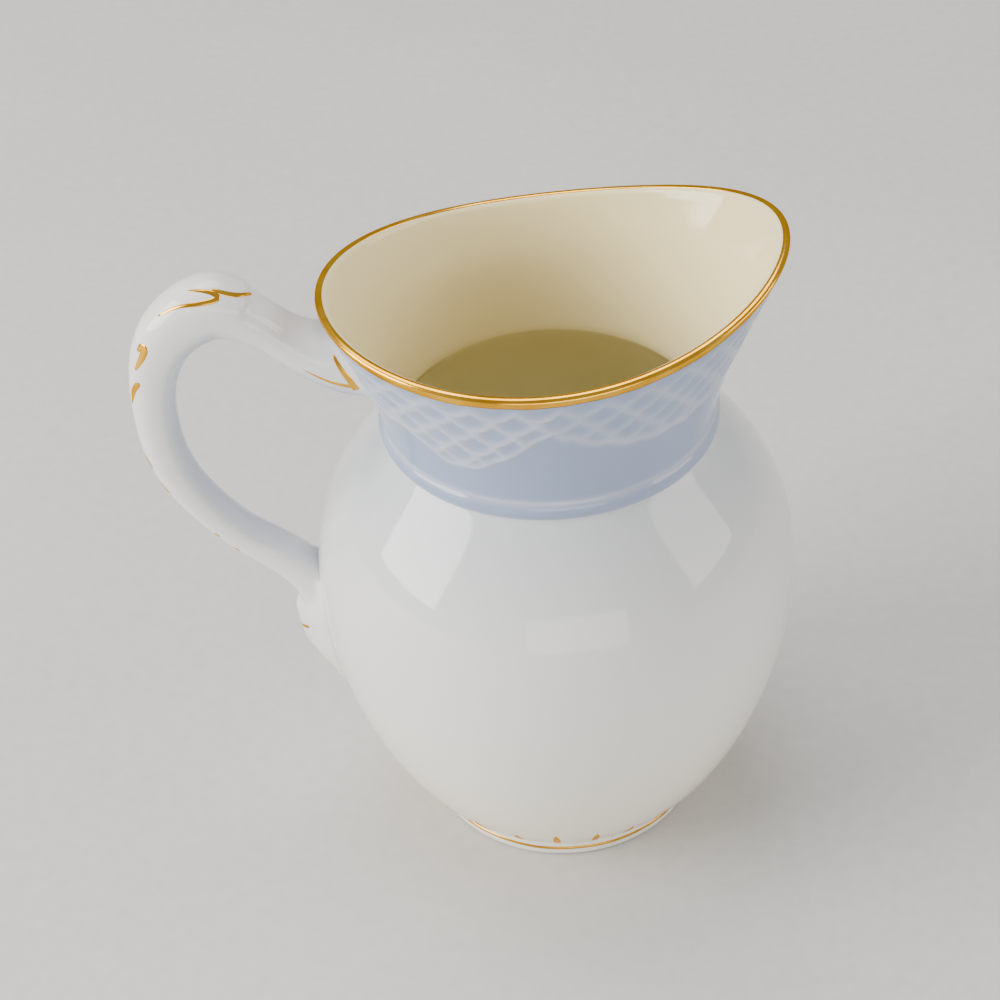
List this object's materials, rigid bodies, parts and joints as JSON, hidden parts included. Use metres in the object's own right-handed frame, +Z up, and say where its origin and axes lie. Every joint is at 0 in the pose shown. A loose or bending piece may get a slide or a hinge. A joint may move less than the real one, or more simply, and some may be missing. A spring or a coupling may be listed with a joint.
{
  "type": "cream jug",
  "caption": "Small porcelain cream jug with a round belly, a flared neck and pouring lip, a loop handle, a foot ring and gilt edge lines.",
  "frame": {"origin": "middle of the whole jug's box, on the surface the foot ring stands on", "axes": "+Z up, +X from the handle towards the spout, +Y across the jug"},
  "size_m": [0.1178, 0.0892, 0.1237],
  "materials": {
    "glaze": "gloss",
    "foot": "satin",
    "gilding": "polished"
  },
  "bodies": {
    "root": {"jug_body": "glaze", "handle": "glaze", "foot_ring": "foot", "rim_gilding": "gilding", "foot_gilding": "gilding"}
  },
  "joints": []
}
